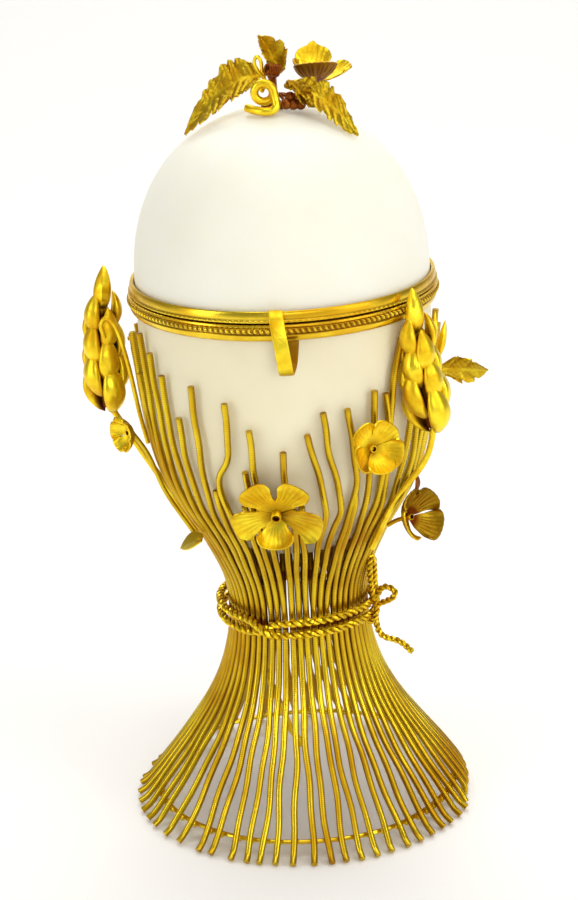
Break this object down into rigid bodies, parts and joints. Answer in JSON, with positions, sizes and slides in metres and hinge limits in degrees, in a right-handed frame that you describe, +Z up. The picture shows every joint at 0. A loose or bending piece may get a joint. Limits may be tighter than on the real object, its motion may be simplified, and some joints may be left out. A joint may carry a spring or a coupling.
{
  "type": "egg-shaped glass box in a wheat sheaf stand",
  "caption": "Upright egg-shaped trinket box of satin opaline glass with a hinged dome lid, held in a gilt wire wheat sheaf stand with ears, flowers and a twisted wire tie.",
  "frame": {"origin": "on the floor under the axis of the egg", "axes": "+Z up along the axis of the egg, -Y towards the front with the catch, +X to the right seen from the front"},
  "size_m": [0.1085, 0.1003, 0.2107],
  "materials": {
    "opaline": "satin, opaque milky glass",
    "gilt": "worn gilding, bright on high places and brown in hollows",
    "wound_wire": "gilt wire wound with fine wire, satin"
  },
  "bodies": {
    "base": {"egg_bowl": "opaline", "bowl_rim": "gilt", "hinge_base": "gilt", "hinge_pin": "gilt", "straws_01": "wound_wire", "straws_02": "wound_wire", "straws_03": "wound_wire", "straws_04": "wound_wire", "straws_05": "wound_wire", "straws_06": "wound_wire", "straws_07": "wound_wire", "straws_08": "wound_wire", "straws_09": "wound_wire", "straws_10": "wound_wire", "straws_11": "wound_wire", "straws_12": "wound_wire", "straws_13": "wound_wire", "straws_14": "wound_wire", "straws_15": "wound_wire", "straws_16": "wound_wire", "straws_17": "wound_wire", "straws_18": "wound_wire", "straws_19": "wound_wire", "straws_20": "wound_wire", "foot_hoop": "gilt", "inner_stub": "gilt", "sheaf_tie": "gilt", "wheat_ear_left": "gilt", "wheat_ear_right": "gilt", "front_flower": "gilt", "right_flower": "gilt", "side_flower": "gilt", "left_flower": "gilt", "curled_leaf": "gilt", "lower_petal": "gilt", "small_bud": "gilt"},
    "lid": {"egg_lid": "opaline", "lid_rim": "gilt", "thumb_catch": "gilt", "hinge_lid": "gilt", "lid_leaf_left": "gilt", "lid_leaf_right": "gilt", "lid_flower": "gilt", "lid_folded_leaf": "gilt", "lid_coil": "gilt", "lid_berries": "gilt", "lid_tendrils": "gilt"}
  },
  "joints": [
    {"name": "lid_hinge", "type": "hinge", "parent": "base", "child": "lid", "pos_m": [0, 0.0427, 0.14615], "axis": [-1, 0, 0], "range_deg": [0, 100]}
  ]
}
